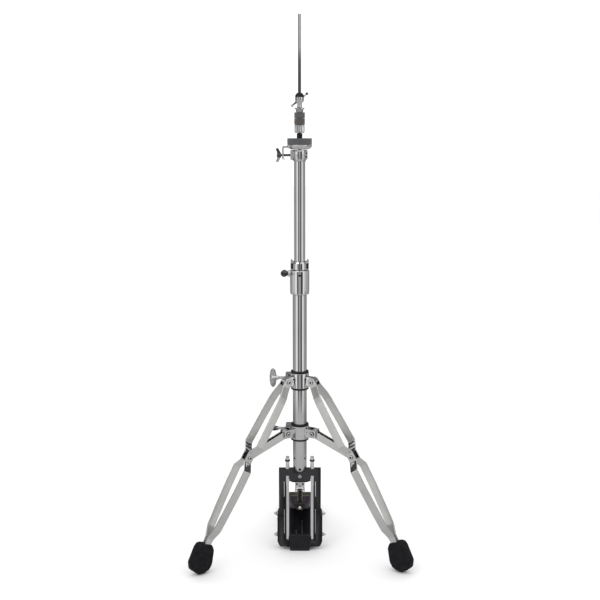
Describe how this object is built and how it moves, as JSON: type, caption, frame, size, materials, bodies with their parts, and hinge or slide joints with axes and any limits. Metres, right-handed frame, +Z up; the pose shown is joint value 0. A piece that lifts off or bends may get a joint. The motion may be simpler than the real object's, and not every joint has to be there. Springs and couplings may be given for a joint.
{
  "type": "hi-hat stand",
  "caption": "Floor stand for a pair of cymbals, with a chain pedal, a spring-loaded pull rod, a tilting felt seat, a rod clutch and a folding braced leg pair.",
  "frame": {"origin": "on the floor under the main tube's axis, on the base plate's underside", "axes": "+Z up along the tube, +Y from the tube towards the heel of the pedal, +X to the right when looking along +Y; the legs reach out on the -Y side"},
  "size_m": [0.4478, 0.4107, 1.085],
  "materials": {
    "chrome": "polished chrome plating",
    "satin_steel": "satin plated steel",
    "dark_steel": "dark plated steel rod",
    "black_paint": "semi-matte black powder coat",
    "black_plastic": "moulded black nylon",
    "rubber": "matte black rubber",
    "felt": "pressed grey wool felt",
    "chain_steel": "nickel plated roller chain"
  },
  "bodies": {
    "stand": {"base_plate": "black_paint", "heel_plate": "black_paint", "heel_hinge_pin": "satin_steel", "pedal_frame": "black_paint", "left_tension_rod": "chrome", "right_tension_rod": "chrome", "left_rod_ring": "rubber", "right_rod_ring": "rubber", "left_upper_spur_screw": "chrome", "left_lower_spur_screw": "chrome", "right_upper_spur_screw": "chrome", "right_lower_spur_screw": "chrome", "frame_clamp_screw": "chrome", "lower_tube": "chrome", "height_collar": "chrome", "height_bushing": "black_plastic", "spring_seat": "black_plastic", "return_spring": "satin_steel"},
    "pedal": {"footboard": "black_paint", "toe_clamp": "chrome"},
    "pull_rod": {"upper_pull_rod": "dark_steel", "lower_pull_rod": "dark_steel", "rod_coupler": "satin_steel", "rod_yoke": "chrome"},
    "chain": {"pedal_chain": "chain_steel"},
    "upper_column": {"upper_tube": "chrome", "memory_lock": "chrome", "tilter_base": "chrome"},
    "height_bolt": {"height_wing_bolt": "chrome"},
    "seat": {"tilt_cup": "chrome", "seat_felt": "felt", "seat_sleeve": "black_plastic"},
    "tilt_screw": {"tilt_wing_screw": "chrome"},
    "clutch": {"clutch_body": "chrome", "clutch_cap": "black_plastic", "clutch_flange_nut": "chrome", "clutch_upper_felt": "felt", "clutch_lower_felt": "felt"},
    "bottom_nut": {"clutch_bottom_nut": "chrome"},
    "clutch_screw": {"clutch_wing_screw": "chrome"},
    "leg_bushing": {"lower_leg_bushing": "black_plastic"},
    "leg_hub": {"lower_leg_collar": "chrome", "left_strut_pin": "chrome", "right_strut_pin": "chrome"},
    "lower_clamp_bolt": {"lower_clamp_wing_bolt": "chrome"},
    "sliding_collar": {"upper_leg_collar": "chrome", "upper_leg_bushing": "black_plastic", "left_leg_pin": "chrome", "right_leg_pin": "chrome"},
    "upper_clamp_bolt": {"upper_clamp_wing_bolt": "chrome"},
    "left_leg": {"left_leg_strap_a": "satin_steel", "left_leg_strap_b": "satin_steel", "left_waist_bolt": "chrome", "left_rubber_foot": "rubber"},
    "right_leg": {"right_leg_strap_a": "satin_steel", "right_leg_strap_b": "satin_steel", "right_waist_bolt": "chrome", "right_rubber_foot": "rubber"},
    "left_strut": {"left_leg_strut": "satin_steel"},
    "right_strut": {"right_leg_strut": "satin_steel"}
  },
  "joints": [
    {"name": "pedal_press", "type": "hinge", "parent": "stand", "child": "pedal", "pos_m": [0, 0.23, 0.014], "axis": [1, 0, 0], "range_deg": [0, 12], "stiffness_Nm_per_rad": 16, "springref_deg": -8.59},
    {"name": "rod_pull", "type": "slide", "parent": "stand", "child": "pull_rod", "axis": [0, 0, -1], "range_m": [0, 0.0381], "deforming": ["return_spring"]},
    {"name": "chain_swing", "type": "hinge", "parent": "pull_rod", "child": "chain", "pos_m": [0, 0, 0.127], "axis": [1, 0, 0], "range_deg": [-13.4, 0]},
    {"name": "height_adjust", "type": "slide", "parent": "stand", "child": "upper_column", "axis": [0, 0, 1], "range_m": [0, 0.1]},
    {"name": "height_wing_turn", "type": "hinge", "parent": "stand", "child": "height_bolt", "pos_m": [0, 0, 0.585], "axis": [1, 0, 0], "continuous": true},
    {"name": "tilt_screw_turn", "type": "hinge", "parent": "upper_column", "child": "tilt_screw", "pos_m": [-0.03, 0, 0.819], "axis": [1, 0, 0], "range_deg": [-360, 360]},
    {"name": "seat_tilt", "type": "hinge", "parent": "upper_column", "child": "seat", "pos_m": [0, 0, 0.829], "axis": [0, 1, 0], "range_deg": [-1.85, 1.85]},
    {"name": "clutch_slide", "type": "slide", "parent": "upper_column", "child": "clutch", "axis": [0, 0, 1], "range_m": [0, 0.045]},
    {"name": "bottom_nut_turn", "type": "hinge", "parent": "clutch", "child": "bottom_nut", "pos_m": [0, 0, 0.866], "axis": [0, 0, 1], "continuous": true},
    {"name": "clutch_screw_turn", "type": "hinge", "parent": "clutch", "child": "clutch_screw", "pos_m": [0, 0.015, 0.926], "axis": [0, 1, 0], "continuous": true},
    {"name": "leg_height", "type": "slide", "parent": "stand", "child": "leg_bushing", "axis": [0, 0, 1], "range_m": [0, 0.09]},
    {"name": "leg_swivel", "type": "hinge", "parent": "leg_bushing", "child": "leg_hub", "pos_m": [0, 0, 0.25], "axis": [0, 0, 1], "range_deg": [-40, 40]},
    {"name": "lower_clamp_turn", "type": "hinge", "parent": "leg_hub", "child": "lower_clamp_bolt", "pos_m": [-0.03, 0.024, 0.2533], "axis": [1, 0, 0], "continuous": true},
    {"name": "leg_fold", "type": "slide", "parent": "leg_hub", "child": "sliding_collar", "axis": [0, 0, 1], "range_m": [-0.0335, 0]},
    {"name": "upper_clamp_turn", "type": "hinge", "parent": "sliding_collar", "child": "upper_clamp_bolt", "pos_m": [-0.03, 0.024, 0.3625], "axis": [1, 0, 0], "continuous": true},
    {"name": "left_leg_swing", "type": "hinge", "parent": "sliding_collar", "child": "left_leg", "pos_m": [-0.02652, -0.01606, 0.365], "axis": [0.518, -0.8554, 0], "range_deg": [0, 23]},
    {"name": "left_strut_swing", "type": "hinge", "parent": "leg_hub", "child": "left_strut", "pos_m": [-0.02823, -0.01709, 0.256], "axis": [0.518, -0.8554, 0], "range_deg": [0, 53.2]},
    {"name": "right_leg_swing", "type": "hinge", "parent": "sliding_collar", "child": "right_leg", "pos_m": [0.02717, -0.01493, 0.365], "axis": [0.4818, 0.8763, 0], "range_deg": [0, 23]},
    {"name": "right_strut_swing", "type": "hinge", "parent": "leg_hub", "child": "right_strut", "pos_m": [0.02892, -0.0159, 0.256], "axis": [0.4818, 0.8763, 0], "range_deg": [0, 53.2]}
  ],
  "couplings": [
    {"joint": "rod_pull", "follows": "pedal_press", "m_per_rad": 0.18144},
    {"joint": "chain_swing", "follows": "pedal_press", "ratio": -1.1},
    {"joint": "seat_tilt", "follows": "tilt_screw_turn", "ratio": 0.005},
    {"joint": "left_leg_swing", "follows": "leg_fold", "rad_per_m": -11.867},
    {"joint": "left_strut_swing", "follows": "leg_fold", "rad_per_m": -27.587},
    {"joint": "right_leg_swing", "follows": "leg_fold", "rad_per_m": -11.867},
    {"joint": "right_strut_swing", "follows": "leg_fold", "rad_per_m": -27.587},
    {"joint": "leg_height", "follows": "leg_fold", "ratio": -2.685}
  ]
}
